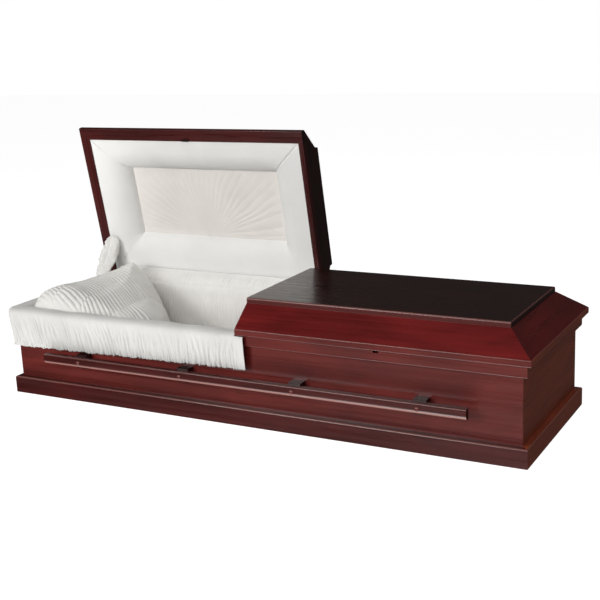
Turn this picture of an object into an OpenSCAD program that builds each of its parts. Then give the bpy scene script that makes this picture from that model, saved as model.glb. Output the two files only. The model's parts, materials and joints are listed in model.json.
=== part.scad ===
// Half-couch wood casket: a panelled body on a base moulding, two hinged lids
// with sloping sides, fixed handle bars, and a padded interior.
// X runs from the head (-X) to the foot (+X), the front faces -Y, Z is up.
// The origin is the centre of the underside. The head lid stands open.

/* [Overall] */
// Length over the base moulding
casket_l = 2080; // [1700:5:2500]
// Width over the base moulding
casket_w = 650; // [540:5:820]
// Height of the rim that the lids close on
rim_h = 338; // [280:1:430]

/* [Base moulding] */
// Height of the base moulding
base_h = 66; // [40:1:100]
// Thickness of the base moulding, which stands proud of the panels
base_t = 22; // [12:1:40]
// Radius along the moulding's upper outer edge
base_r = 7; // [2:0.5:10]

/* [Body panels] */
// Thickness of the side and end panels
wall_t = 20; // [16:1:30]
// Thickness of the bottom board
bottom_t = 18; // [9:1:30]
// Height of the band planted round the top of the panels
band_h = 41; // [30:1:60]
// Thickness of the band
band_t = 18; // [12:1:30]
// Radius along the band's lower outer edge
band_r = 3; // [1:0.5:6]

/* [Lids] */
// How far the lid's lip overhangs the band
lip_over = 18; // [10:1:30]
// Height of the lip rails
lip_h = 23; // [16:1:40]
// Width of the lip rails, seen from below
rail_w = 47; // [40:1:70]
// Width of the cross rail at the division
stile_w = 20; // [12:1:40]
// Radius along the lip's outer edges
lip_r = 3; // [1:0.5:6]
// Ledge between the lip's face and the foot of the slope
slope_set = 2; // [0:0.5:6]
// Inward run of the sloping boards
slope_in = 91; // [50:1:120]
// Height of the sloping boards
slope_rise = 70; // [40:1:120]
// Thickness of the sloping boards and of the division board
board_t = 18; // [10:1:24]
// Ledge between the top of the slope and the top panel
top_set = 1.5; // [0:0.5:6]
// Thickness of the top panel
top_t = 19; // [12:1:30]
// Radius along the top panel's upper edge
top_r = 6; // [2:0.5:9]
// Gap between the two lids
lid_gap = 2; // [1:0.5:6]
// Gap between the rim and a closed lid
seat_gap = 0.5; // [0.3:0.1:2]
// Angle at which the stay holds a lid open
open_deg = 79.6; // [30:0.1:85]

/* [Hinges] */
// Length of the continuous hinge of each lid
hinge_l = 900; // [400:10:950]
// Number of knuckles on each hinge
knuckles = 9; // [5:2:15]
// Outer radius of the knuckles
knuckle_r = 4.5; // [4:0.1:6]
// Radius of the hinge pin
pin_r = 2; // [1.5:0.1:2.5]
// Radial clearance between the pin and the knuckles
pin_fit = 0.05; // [0.03:0.01:0.1]
// Depth of the pin's centre below the rim
pin_drop = 11; // [9:0.5:14]
// Thickness of the hinge leaves
leaf_t = 1.6; // [1:0.1:2.5]
// Height of the leaf on the band
leaf_h = 22; // [10:1:26]

/* [Catches] */
// Length of the catch tongue along the lid rail
catch_l = 32; // [20:1:60]
// Thickness of the catch tongue
catch_t = 6; // [3:0.5:8]
// Drop of the catch tongue below the rail
catch_drop = 10; // [6:0.5:16]
// Clearance round the catch tongue in its pocket
catch_fit = 3; // [1.5:0.5:5]
// Width of the key notch in the band, in front of the catch
notch_w = 20; // [12:1:40]

/* [Handles] */
// Length of each handle bar
bar_l = 1704; // [1450:2:1980]
// Height of a bar
bar_h = 38; // [20:1:45]
// Depth of a bar
bar_d = 22; // [16:1:35]
// Distance from the side panel to the front of a bar
bar_off = 58; // [45:1:90]
// Height of a bar's centre above the underside
bar_z = 166.5; // [120:0.5:230]
// Distance between neighbouring brackets
bracket_pitch = 458; // [300:2:470]
// Width of a bracket
bracket_w = 46; // [30:1:90]
// Height of a bracket
bracket_h = 51; // [20:1:60]

/* [Soft interior] */
// Thickness of the padded lining on the walls
lining_t = 10; // [6:1:20]
// Height of the mattress top above the underside
bed_h = 150; // [110:1:210]
// Gap between soft pieces
soft_gap = 1; // [0.5:0.5:4]
// Slope of the raised head end of the mattress
head_deg = 20; // [5:0.5:24]
// Length of the raised head end of the mattress
head_l = 340; // [250:5:700]
// Length of the pillow, along the casket
pillow_l = 490; // [350:5:560]
// Gap between the pillow's sides and the lining
pillow_gap = 8; // [4:1:60]
// Thickness of the pillow in its middle
pillow_t = 170; // [90:2:180]
// How far the pillow's back corner is drawn in from its foot edge
pillow_tuck = 240; // [0:5:300]
// Drop of the overlay down the outside, from the rim
overlay_drop = 143; // [60:1:160]
// Thickness of the overlay where it passes over the band
overlay_t = 15; // [8:1:17]
// Width of the overlay's tab under the foot lid
overlay_tab = 31; // [10:1:80]
// Distance from the back panel to the overlay's end on the head end
overlay_stop = 83; // [60:1:200]
// Radius of the sleeve over the head lid's stay
stay_r = 17; // [10:1:18]
// Width of the padded roll round the inside of a lid
roll_w = 146; // [90:1:170]
// Depth of a lid's centre panel above the rail's underside
panel_depth = 63; // [35:1:80]
// Thickness of a lid's centre panel
panel_t = 6; // [4:0.5:12]

/* [Hidden] */
$fn = 48;

wood = [0.35, 0.12, 0.12];
dark_wood = [0.20, 0.09, 0.09];
cloth = [0.90, 0.88, 0.86];
steel = [0.30, 0.29, 0.28];

// Half sizes of the body's outer faces, of the band and of the lids' lip
body_x = casket_l / 2 - base_t;
body_y = casket_w / 2 - base_t;
band_x = body_x + band_t;
band_y = body_y + band_t;
lip_x = band_x + lip_over;
lip_y = band_y + lip_over;
inner_x = body_x - wall_t;
inner_y = body_y - wall_t;

// Heights of a closed lid
lid_z = rim_h + seat_gap;
slope_z = lid_z + lip_h;
top_z = slope_z + slope_rise;

// Sloping boards: half sizes at their foot, and thickness measured level
slope_x = lip_x - slope_set;
slope_y = lip_y - slope_set;
slope_deg = atan2(slope_rise, slope_in);
slope_level = board_t / sin(slope_deg);

// A closed lid reaches from the division to the end
lid_x0 = lid_gap / 2;
lid_mid = (lid_x0 + lip_x) / 2;

// Hinge line of both lids
pin_y = band_y + 0.5;
pin_z = rim_h - pin_drop;
knuckle_l = hinge_l / knuckles;
knuckle_gap = 0.4;
rebate = 1;

// Opening inside a lid's rails, and its centre
well_x = (lip_x - rail_w - lid_x0 - stile_w) / 2;
well_y = lip_y - rail_w;
well_mid = lid_x0 + stile_w + well_x;

// The catch tongue hangs from the front rail, close to the rail's inner edge
catch_y = -well_y - catch_t - 2;
catch_pocket_y = catch_y + catch_t + catch_fit / 2;
catch_pocket_depth = catch_drop + catch_fit - seat_gap;

// Loft of the padding that lies over the rim, and its clearance from wood
rim_loft = 7;
rim_fit = 0.3;

// Half sizes of the space inside the lining, and height of the mattress at x
soft_x = inner_x - lining_t - soft_gap;
soft_y = inner_y - lining_t - soft_gap;
function bed_z(x) = bed_h + max(0, head_l - soft_x - x) * tan(head_deg);

SIDES = ["front", "back", "head", "foot"];
LIDS = ["head", "foot"];
BRACKETS = [1 : 4];
LID_BOARDS = ["rail_front", "rail_back", "rail_end", "rail_division", "slope_front",
              "slope_back", "slope_end", "division_board", "top", "catch"];

// ---- placing ----

// Turns a piece of the closed head lid to the angle that the stay holds
module opened() {
    translate([0, pin_y, pin_z]) rotate([-open_deg, 0, 0]) translate([0, -pin_y, -pin_z]) children();
}

// A lid piece is drawn closed at the foot, and the head's is its open mirror image
module on_lid(lid) {
    if (lid == "foot") children();
    if (lid == "head") opened() mirror([1, 0, 0]) children();
}

// A hinge piece on the body, mirrored for the head
module on_body(lid) {
    if (lid == "foot") children();
    if (lid == "head") mirror([1, 0, 0]) children();
}

// One mitred side of a rectangular ring with half sizes hx and hy. The child is its
// section, with X = 0 at the outer face, X falling inwards to -depth, and Y as height
module ring_side(side, hx, hy, depth) {
    if (side == "back") ring_long(hx, hy, depth) children();
    if (side == "front") mirror([0, 1, 0]) ring_long(hx, hy, depth) children();
    if (side == "foot") ring_end(hx, hy, depth) children();
    if (side == "head") mirror([1, 0, 0]) ring_end(hx, hy, depth) children();
}

module ring_long(hx, hy, depth) {
    intersection() {
        translate([-hx, hy, 0]) rotate([90, 0, 90]) linear_extrude(2 * hx) children();
        linear_extrude(2 * rim_h)
            polygon([[-hx, hy], [hx, hy], [hx - depth, hy - depth], [-hx + depth, hy - depth]]);
    }
}

module ring_end(hx, hy, depth) {
    intersection() {
        translate([hx, hy, 0]) rotate([90, 0, 0]) linear_extrude(2 * hy) children();
        linear_extrude(2 * rim_h)
            polygon([[hx, -hy], [hx, hy], [hx - depth, hy - depth], [hx - depth, -hy + depth]]);
    }
}

// Everything on the lid's side of the division, starting at x0
module beyond(x0) {
    intersection() {
        children();
        translate([x0, -casket_w, 0]) cube([casket_l, 2 * casket_w, 2 * rim_h]);
    }
}

// ---- sections ----

// A board's section from z0, t thick and h high, with its outer edges rounded
module board_section(t, z0, h, r_low, r_high) {
    difference() {
        translate([-t, z0]) square([t, h]);
        if (r_high > 0) translate([-r_high, z0 + h - r_high]) edge_cut(r_high);
        if (r_low > 0) translate([-r_low, z0 + r_low]) mirror([0, 1]) edge_cut(r_low);
    }
}

// What a rounding of radius r takes off a square corner
module edge_cut(r) {
    difference() {
        square(r + 1);
        circle(r);
    }
}

// ---- body ----

module base_rail(side) {
    color(wood) ring_side(side, body_x + base_t, body_y + base_t, base_t)
        board_section(base_t, 0, base_h, 0, base_r);
}

module panel(side) {
    color(wood) difference() {
        ring_side(side, body_x, body_y, wall_t) board_section(wall_t, 0, rim_h, 0, 0);
        if (side == "front") for (sx = [-1, 1]) catch_pocket(sx * lid_mid);
    }
}

module band(side) {
    color(wood) difference() {
        ring_side(side, band_x, band_y, band_t)
            board_section(band_t, rim_h - band_h, band_h, band_r, 0);
        if (side == "front") for (sx = [-1, 1]) key_notch(sx * lid_mid);
        if (side == "back") for (sx = [-1, 1]) hinge_rebate(sx * lid_mid);
    }
}

module bottom_board() {
    color(dark_wood) translate([-inner_x, -inner_y, 0]) cube([2 * inner_x, 2 * inner_y, bottom_t]);
}

// Pocket in the panel's top edge that the catch tongue drops into
module catch_pocket(x) {
    translate([x - catch_l / 2 - catch_fit, -body_y - 1, rim_h - catch_pocket_depth])
        cube([catch_l + 2 * catch_fit, catch_pocket_y + body_y + 1, catch_pocket_depth + 1]);
}

// Notch through the band, from its face to the pocket
module key_notch(x) {
    translate([x - notch_w / 2, -band_y - 1, rim_h - catch_pocket_depth])
        cube([notch_w, band_t + 2, catch_pocket_depth + 1]);
}

// Rebate in the band's top edge that clears the hinge knuckles
module hinge_rebate(x) {
    low = pin_z - knuckle_r - rebate;
    translate([x - hinge_l / 2 - rebate, pin_y - knuckle_r - rebate, low])
        cube([hinge_l + 2 * rebate, casket_w, rim_h - low + 1]);
}

// ---- handles ----

module handle_bar(side) {
    flip = side == "front" ? 1 : 0;
    color(wood) mirror([0, flip, 0])
        translate([-bar_l / 2, body_y + bar_off, 0]) rotate([90, 0, 90]) linear_extrude(bar_l)
            board_section(bar_d, bar_z - bar_h / 2, bar_h, 0.42 * bar_h, 0.12 * bar_h);
}

module bar_bracket(side, i) {
    flip = side == "front" ? 1 : 0;
    color(dark_wood) mirror([0, flip, 0])
        translate([(i - 2.5) * bracket_pitch - bracket_w / 2, body_y, bar_z - bracket_h / 2])
            cube([bracket_w, bar_off - bar_d, bracket_h]);
}

// ---- lids, drawn closed at the foot ----

module lid_rail(side) {
    color(wood) beyond(lid_x0) ring_side(side, lip_x, lip_y, rail_w)
        board_section(rail_w, lid_z, lip_h, lip_r, lip_r);
}

module lid_stile() {
    color(wood) translate([lid_x0, -well_y, lid_z]) cube([stile_w, 2 * well_y, lip_h]);
}

module lid_slope(side) {
    color(wood) beyond(lid_x0) ring_side(side, slope_x, slope_y, slope_in + slope_level)
        polygon([[0, slope_z], [-slope_in, top_z], [-slope_in - slope_level, top_z],
                 [-slope_level, slope_z]]);
}

// The board across the lid's open end, between the front and back slopes
module lid_division_board() {
    low = slope_y - slope_level;
    high = low - slope_in;
    color(dark_wood) translate([lid_x0, 0, 0]) rotate([90, 0, 90]) linear_extrude(board_t)
        polygon([[-low, slope_z], [-high, top_z], [high, top_z], [low, slope_z]]);
}

module lid_top() {
    half_w = slope_y - slope_in - top_set;
    end_x = slope_x - slope_in - top_set;
    color(wood) intersection() {
        translate([lid_x0, 0, top_z]) rotate([90, 0, 90]) linear_extrude(end_x - lid_x0) difference() {
            translate([-half_w, 0]) square([2 * half_w, top_t]);
            for (sy = [0, 1]) mirror([sy, 0]) translate([half_w - top_r, top_t - top_r]) edge_cut(top_r);
        }
        translate([0, half_w, top_z]) rotate([90, 0, 0]) linear_extrude(2 * half_w) difference() {
            square([end_x, top_t]);
            translate([end_x - top_r, top_t - top_r]) edge_cut(top_r);
        }
    }
}

module lid_catch() {
    color(steel) translate([lid_mid - catch_l / 2, catch_y, lid_z - catch_drop])
        cube([catch_l, catch_t, catch_drop]);
}

module lid_board(name) {
    if (name == "rail_front") lid_rail("front");
    if (name == "rail_back") lid_rail("back");
    if (name == "rail_end") lid_rail("foot");
    if (name == "rail_division") lid_stile();
    if (name == "slope_front") lid_slope("front");
    if (name == "slope_back") lid_slope("back");
    if (name == "slope_end") lid_slope("foot");
    if (name == "division_board") lid_division_board();
    if (name == "top") lid_top();
    if (name == "catch") lid_catch();
}

// ---- hinges, drawn at the foot ----

// Knuckles of one leaf: every second one, starting at the given number
module knuckle_row(first) {
    for (k = [first : 2 : knuckles - 1])
        translate([lid_mid - hinge_l / 2 + k * knuckle_l + knuckle_gap / 2, pin_y, pin_z])
            rotate([0, 90, 0]) cylinder(r = knuckle_r, h = knuckle_l - knuckle_gap);
}

module pin_bore() {
    translate([lid_mid - hinge_l / 2 - 1, pin_y, pin_z]) rotate([0, 90, 0])
        cylinder(r = pin_r + pin_fit, h = hinge_l + 2);
}

// Leaf screwed to the back of the band, with the outer knuckles
module hinge_base_leaf() {
    low = pin_z - leaf_h - knuckle_r;
    color(steel) difference() {
        union() {
            translate([lid_mid - hinge_l / 2, band_y, low])
                cube([hinge_l, leaf_t, pin_z - knuckle_r - knuckle_gap - low]);
            for (k = [0 : 2 : knuckles - 1])
                translate([lid_mid - hinge_l / 2 + k * knuckle_l + knuckle_gap / 2, band_y, low])
                    cube([knuckle_l - knuckle_gap, leaf_t, pin_z - pin_r - low - 0.4]);
            knuckle_row(0);
        }
        pin_bore();
    }
}

// Leaf screwed to the underside of the lid's overhang, with a web down to its knuckles
module hinge_lid_leaf() {
    x0 = lid_mid - hinge_l / 2;
    web_y = pin_y - leaf_t / 2;
    web_z = pin_z + knuckle_r + knuckle_gap;
    color(steel) difference() {
        union() {
            translate([x0, web_y, lid_z - leaf_t]) cube([hinge_l, lip_y - lip_r - web_y, leaf_t]);
            translate([x0, web_y, web_z]) cube([hinge_l, leaf_t, lid_z - web_z]);
            for (k = [1 : 2 : knuckles - 1])
                translate([x0 + k * knuckle_l + knuckle_gap / 2, web_y, pin_z + pin_r + 0.4])
                    cube([knuckle_l - knuckle_gap, leaf_t, lid_z - pin_z - pin_r - 0.4]);
            knuckle_row(1);
        }
        pin_bore();
    }
}

module hinge_pin() {
    color(steel) translate([lid_mid - hinge_l / 2, pin_y, pin_z]) rotate([0, 90, 0])
        cylinder(r = pin_r, h = hinge_l);
}

// ---- soft interior ----

// Section of the padded roll inside a lid, from the rail's inner face inwards
module roll_section() {
    z = lid_z;
    polygon([[0, z + 3], [-0.4 * roll_w, z + 9], [-0.8 * roll_w, z + 0.5 * panel_depth],
             [-roll_w, z + panel_depth], [-roll_w, z + panel_depth + panel_t],
             [-0.7 * roll_w, z + panel_depth], [-0.35 * roll_w, z + 0.6 * panel_depth],
             [0, z + lip_h]]);
}

module lid_roll() {
    for (s = SIDES) translate([well_mid, 0, 0]) ring_side(s, well_x, well_y, roll_w) roll_section();
}

module lid_centre() {
    translate([well_mid - well_x + roll_w, -well_y + roll_w, lid_z + panel_depth])
        cube([2 * (well_x - roll_w), 2 * (well_y - roll_w), panel_t]);
}

module mattress() {
    color(cloth) translate([0, soft_y, 0]) rotate([90, 0, 0]) linear_extrude(2 * soft_y)
        polygon([[-soft_x, bottom_t], [soft_x, bottom_t], [soft_x, bed_h],
                 [head_l - soft_x, bed_h], [-soft_x, bed_z(-soft_x)]]);
}

// The pillow lies on the raised head end: thick at the head, crowned in the middle, thin at
// the foot, with its back corner drawn in
module pillow() {
    head_r = 0.35 * pillow_t;
    foot_r = 0.2 * pillow_t;
    x0 = pillow_gap - soft_x;
    y0 = soft_y - pillow_gap;
    foot_x = x0 + pillow_l - foot_r;
    mid = [x0 + 0.5 * pillow_l, -0.05 * y0];
    half_t = pillow_t / 2;
    color(cloth) hull() {
        for (p = [[x0 + head_r, head_r - y0, head_r], [x0 + head_r, y0 - head_r, head_r],
                  [foot_x, foot_r - y0, foot_r], [foot_x, 0, foot_r],
                  [foot_x - pillow_tuck, y0 - foot_r, foot_r]])
            translate([p.x, p.y, bed_z(p.x) + soft_gap + p.z / cos(head_deg)]) sphere(r = p.z, $fn = 32);
        translate([mid.x, mid.y, bed_z(mid.x) + soft_gap + half_t / cos(head_deg)])
            rotate([0, head_deg, 0]) scale([0.3 * pillow_l, 0.6 * y0, half_t]) sphere(r = 1, $fn = 32);
    }
}

module body_lining() {
    color(cloth) difference() {
        translate([-inner_x, -inner_y, bottom_t]) cube([2 * inner_x, 2 * inner_y, rim_h - bottom_t]);
        translate([lining_t - inner_x, lining_t - inner_y, 0])
            cube([2 * (inner_x - lining_t), 2 * (inner_y - lining_t), 2 * rim_h]);
    }
}

// Section of the overlay: over the rim, then down outside the band, drawn in at its hem.
// X = 0 is its outermost line
module overlay_section() {
    low = rim_h - overlay_drop;
    rim = rim_h + rim_fit;
    band_face = rim_fit - overlay_t;
    hem_in = 8;
    back = overlay_t + band_t + wall_t + lining_t;
    polygon([[band_face - hem_in, low], [band_face, rim_h - band_h], [band_face, rim], [-back, rim],
             [-back, rim + 0.45 * rim_loft], [8 - back, rim + 0.85 * rim_loft],
             [-back / 2, rim + rim_loft], [-8, rim + 0.8 * rim_loft], [0, rim], [-overlay_t, low]]);
}

module overlay() {
    hx = band_x + overlay_t;
    hy = band_y + overlay_t;
    depth = overlay_t + band_t + wall_t + lining_t;
    tab_low = rim_h - overlay_drop;
    tab_high = rim_h - 2;
    color(cloth) union() {
        intersection() {
            ring_side("front", hx, hy, depth) overlay_section();
            translate([-hx, -hy, 0]) cube([hx - lid_gap, 2 * hy, 2 * rim_h]);
        }
        intersection() {
            ring_side("head", hx, hy, depth) overlay_section();
            translate([-hx, -hy, 0]) cube([hx, hy + inner_y - overlay_stop, 2 * rim_h]);
        }
        intersection() {
            ring_side("front", hx, hy, depth) overlay_section();
            translate([-lid_gap - 1, -hy, tab_low])
                cube([overlay_tab + lid_gap + 1, overlay_t - rim_fit, tab_high - tab_low]);
        }
    }
}

// Shirred strip that hides the open hinge, from the back lining up to the lid's roll
module hinge_cover() {
    z = rim_h + rim_fit;
    hinge_y = pin_y - inner_y;
    rise = 44;
    color(cloth) translate([-soft_x, inner_y, 0]) rotate([90, 0, 90]) linear_extrude(soft_x - 6)
        polygon([[-lining_t, z], [0.2 * hinge_y, z], [hinge_y - 2, z + 12], [hinge_y + 1, z + rise],
                 [hinge_y - 10, z + rise], [0, z + 0.6 * rise]]);
}

// Sleeve over the head lid's stay, from the overlay's end on the rim up to the lid's rail
module stay_cover() {
    x = lining_t - inner_x;
    y = inner_y - overlay_stop + stay_r;
    low = [x - 4, y + 8, rim_h + stay_r + 7];
    bend = [x + 4, y + 44, rim_h + 62];
    high = [x + 10, y + 55, rim_h + 142];
    color(cloth) for (run = [[low, bend], [bend, high]])
        hull() for (p = run) translate(p) sphere(r = stay_r, $fn = 32);
}

// ---- the pieces ----

for (s = SIDES) {
    base_rail(s);
    panel(s);
    band(s);
}
bottom_board();
for (s = ["front", "back"]) {
    handle_bar(s);
    for (i = BRACKETS) bar_bracket(s, i);
}
for (l = LIDS) {
    for (b = LID_BOARDS) on_lid(l) lid_board(b);
    on_body(l) hinge_base_leaf();
    on_lid(l) hinge_lid_leaf();
    on_body(l) hinge_pin();
}
on_lid("head") color(cloth) lid_roll();  // head_lid_lining
on_lid("head") color(cloth) lid_centre();  // head_lid_centre_panel
color(cloth) union() { lid_roll(); lid_centre(); }  // foot_lid_lining
mattress();
pillow();
body_lining();
overlay();
hinge_cover();
stay_cover();
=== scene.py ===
"""Half-couch wood casket: finishes for its boards, and its cloth, padding and small fittings.

Everything is in metres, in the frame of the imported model: X runs from the head (-X) to the foot
(+X), the front faces -Y, and Z is up. The head lid stands open at rest.
"""

from __future__ import annotations

import json
import logging
import math
from dataclasses import dataclass
from enum import Enum

import bpy
import numpy as np
from mathutils import Matrix, Vector

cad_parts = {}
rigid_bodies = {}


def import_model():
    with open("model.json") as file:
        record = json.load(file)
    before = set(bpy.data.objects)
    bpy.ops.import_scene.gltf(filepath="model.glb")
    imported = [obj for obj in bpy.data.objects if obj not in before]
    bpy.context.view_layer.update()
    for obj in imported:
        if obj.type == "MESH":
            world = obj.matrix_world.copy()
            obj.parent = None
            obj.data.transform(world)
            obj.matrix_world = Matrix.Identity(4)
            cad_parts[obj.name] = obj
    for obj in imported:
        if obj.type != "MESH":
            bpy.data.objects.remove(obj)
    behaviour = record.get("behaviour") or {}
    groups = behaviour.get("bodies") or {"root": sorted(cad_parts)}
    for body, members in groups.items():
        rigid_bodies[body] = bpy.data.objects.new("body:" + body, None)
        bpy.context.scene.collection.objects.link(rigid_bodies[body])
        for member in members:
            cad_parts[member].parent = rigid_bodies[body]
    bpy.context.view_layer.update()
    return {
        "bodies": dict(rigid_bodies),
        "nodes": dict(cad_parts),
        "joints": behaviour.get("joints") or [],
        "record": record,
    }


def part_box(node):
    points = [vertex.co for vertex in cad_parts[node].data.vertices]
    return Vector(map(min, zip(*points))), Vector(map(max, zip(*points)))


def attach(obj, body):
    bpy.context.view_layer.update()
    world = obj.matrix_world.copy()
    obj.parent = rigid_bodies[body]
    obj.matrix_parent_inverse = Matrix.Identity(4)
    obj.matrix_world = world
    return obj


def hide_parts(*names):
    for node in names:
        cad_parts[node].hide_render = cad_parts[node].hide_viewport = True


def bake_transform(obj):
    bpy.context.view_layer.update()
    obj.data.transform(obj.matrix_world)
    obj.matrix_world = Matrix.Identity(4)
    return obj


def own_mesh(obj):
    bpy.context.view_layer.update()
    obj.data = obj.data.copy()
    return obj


log = logging.getLogger("casket")
MM = 0.001
CLOTH_THICKNESS = 1.2 * MM
Array = np.ndarray
Triple = tuple[float, float, float]
Colour = Triple
Tones = tuple[Colour, Colour, Colour]
Profile = list[tuple[float, float]]
Socket = bpy.types.NodeSocket


# ---- shapes as arrays ----


def ease(low: float, high: float, x: Array | float) -> Array:
    """Smooth step: 0 below low, 1 above high, and 3t^2 - 2t^3 between them."""
    t = np.clip((np.asarray(x, float) - low) / (high - low), 0.0, 1.0)
    return t * t * (3 - 2 * t)


def rounded(x: Array, power: Array | float) -> Array:
    """A round-ended bump over -1 to 1: the root of one minus |x| to a power."""
    return np.sqrt(np.clip(1 - np.abs(x) ** power, 0, 1))


def powered(x: Array, power: float) -> Array:
    """|x| to a power, with the sign of x; cosine and sine of it draw a superellipse."""
    return np.sign(x) * np.abs(x) ** power


def bell(x: Array, width: float) -> Array:
    """Bell curve: e to the power of minus (x / width) squared."""
    return np.exp(-((x / width) ** 2))


def lattice(x: Array, y: Array, z: Array) -> Array:
    """A grid of points from its coordinates, each spread to the grid's shape."""
    return np.stack(np.broadcast_arrays(x, y, z), axis=2)


class Ripple:
    """Seeded smooth noise on a plane, from -1 to 1."""

    def __init__(self, seed: int) -> None:
        """Fills a table of random heights from the seed."""
        self.table = np.random.default_rng(seed).uniform(-1, 1, (256, 256))

    def at(self, x: Array, y: Array | float = 0.0) -> Array:
        """Heights at x, y: the table's values, blended by a smooth step between whole numbers."""
        x, y = np.broadcast_arrays(np.asarray(x, float), np.asarray(y, float))
        i, j = np.floor(x).astype(int), np.floor(y).astype(int)
        u, v = x - i, y - j
        u, v = u * u * (3 - 2 * u), v * v * (3 - 2 * v)
        i, j, k, m = i % 256, j % 256, (i + 1) % 256, (j + 1) % 256
        t = self.table
        near = t[i, j] * (1 - u) + t[k, j] * u
        far = t[i, m] * (1 - u) + t[k, m] * u
        return near * (1 - v) + far * v


@dataclass(frozen=True)
class Gathers:
    """Folds of shirred cloth that run along one direction and wander, merge and fade."""

    pitch: float
    depth: float
    reach: float = 0.09
    wander: float = 1.0
    seed: int = 1

    def height(self, across: Array, along: Array) -> Array:
        """Height of the folds.

        Round ridges with pinched valleys, |sin| of a phase that counts the folds across and
        drifts with noise. A coarse and a fine set are shared out by a third noise.

        Args:
            across: place across the folds, in metres.
            along: place along the folds, in metres.

        Returns:
            Heights from 0 to about depth, in metres.
        """
        drift, second, share = (Ripple(self.seed + k) for k in range(3))
        a, b = across / self.pitch, along / self.reach
        coarse = np.abs(np.sin(np.pi * (a + self.wander * drift.at(a / 2.7, b)))) ** 0.8
        fine = np.abs(np.sin(np.pi * (1.83 * a + self.wander * second.at(a / 1.9, 1.6 * b)))) ** 0.9
        part = ease(-0.5, 0.5, share.at(a / 1.6, 1.3 * b))
        tall = 0.75 + 0.25 * second.at(a / 3.1, 0.7 * b)
        return self.depth * tall * (coarse * (0.35 + 0.65 * part) + fine * (0.45 - 0.35 * part))


def curve_through(points: list[tuple[float, ...]], count: int) -> Array:
    """Smooth line through points: cubic pieces whose tangents join each point's neighbours.

    Args:
        points: the points, each with the same number of coordinates.
        count: how many places to return, evenly spaced along the line's chords.

    Returns:
        An array of count rows.
    """
    p = np.array(points, float)
    steps = np.linalg.norm(np.diff(p, axis=0), axis=1)
    at = np.concatenate([[0.0], np.cumsum(steps)])
    slope = np.gradient(p, at, axis=0)
    s = np.linspace(0, at[-1], count)
    i = np.clip(np.searchsorted(at, s, side="right") - 1, 0, len(p) - 2)
    h = steps[i][:, None]
    t = ((s - at[i]) / steps[i])[:, None]
    a, b = (1 + 2 * t) * (1 - t) ** 2, t * t * (3 - 2 * t)
    c, d = t * (1 - t) ** 2 * h, t * t * (t - 1) * h
    return a * p[i] + b * p[i + 1] + c * slope[i] + d * slope[i + 1]


def unit(v: Array) -> Array:
    """The vectors, each made one long."""
    return v / np.maximum(np.linalg.norm(v, axis=-1, keepdims=True), 1e-12)


def raised(grid: Array, height: Array) -> Array:
    """The grid moved by height along its normals: its two directions' differences, crossed."""
    normals = unit(np.cross(np.gradient(grid, axis=1), np.gradient(grid, axis=0)))
    return grid + normals * height[..., None]


def lengths_along(grid: Array, axis: int) -> Array:
    """Distance along each row or column of a grid from its start."""
    steps = np.linalg.norm(np.diff(grid, axis=axis), axis=2)
    return np.concatenate([np.zeros_like(np.take(steps, [0], axis)), np.cumsum(steps, axis)], axis)


@dataclass
class Patch:
    """A grid of points that becomes part of a mesh, with its normals to the side that shows."""

    grid: Array
    keep: Array | None = None
    turned: bool = False

    def quads(self, first: int) -> Array:
        """Corners of the grid's cells, counted from first, for the cells that are kept."""
        rows, cols = self.grid.shape[:2]
        k = first + np.arange(rows * cols).reshape(rows, cols)
        q = np.stack([k[:-1, :-1], k[:-1, 1:], k[1:, 1:], k[1:, :-1]], axis=2)
        q = q[self.keep] if self.keep is not None else q.reshape(-1, 4)
        return q[:, ::-1] if self.turned else q

    def cloth_uv(self) -> Array:
        """Metres across and along the grid, so that a weave follows the surface."""
        u, v = lengths_along(self.grid, 1), lengths_along(self.grid, 0)
        return np.stack([u, v], axis=2).reshape(-1, 2)


def new_object(name: str, data: bpy.types.ID) -> bpy.types.Object:
    """A new object in the scene, with that data."""
    item = bpy.data.objects.new(name, data)
    bpy.context.scene.collection.objects.link(item)
    return item


def make_piece(name: str, patches: list[Patch], weld: float = 0.0) -> bpy.types.Object:
    """One mesh object from patches.

    Args:
        name: the piece's name.
        patches: grids of points, each with its own part of the UV map.
        weld: points closer than this are merged, in metres; 0 merges none.

    Returns:
        The object, at the origin and shaded smooth.
    """
    verts, quads, uvs, count = [], [], [], 0
    for patch in patches:
        verts.append(patch.grid.reshape(-1, 3))
        quads.append(patch.quads(count))
        uvs.append(patch.cloth_uv())
        count += len(verts[-1])
    points, faces, uv = np.concatenate(verts), np.concatenate(quads), np.concatenate(uvs)
    used, inverse = np.unique(faces, return_inverse=True)
    points, uv, faces = points[used], uv[used], inverse.reshape(faces.shape)
    mesh = bpy.data.meshes.new(name)
    mesh.from_pydata(points.tolist(), [], faces.tolist())
    layer = mesh.uv_layers.new(name="cloth")
    layer.data.foreach_set("uv", uv[faces.reshape(-1)].astype(np.float32).ravel())
    piece = new_object(name, mesh)
    if weld:
        merge = piece.modifiers.new("merge", "WELD")
        merge.merge_threshold = weld
        settle_modifiers(piece)
    shade_smooth(piece)
    return piece


def settle_modifiers(piece: bpy.types.Object) -> None:
    """Puts what the piece's modifiers make into its mesh, and removes them."""
    graph = bpy.context.evaluated_depsgraph_get()
    mesh = bpy.data.meshes.new_from_object(piece.evaluated_get(graph))
    piece.modifiers.clear()
    piece.data = mesh
    mesh.name = piece.name


def shade_smooth(piece: bpy.types.Object) -> None:
    """Shades every face of the piece smooth."""
    piece.data.polygons.foreach_set("use_smooth", np.ones(len(piece.data.polygons), bool))


def vectors_of(items: bpy.types.bpy_prop_collection, attribute: str) -> Array:
    """A vector attribute of the mesh's points or normals, one row each."""
    flat = np.empty(len(items) * 3)
    items.foreach_get(attribute, flat)
    return flat.reshape(-1, 3)


def move_points(piece: bpy.types.Object, points: Array) -> None:
    """Sets the mesh's points."""
    piece.data.vertices.foreach_set("co", points.astype(np.float32).ravel())
    piece.data.update()


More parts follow.
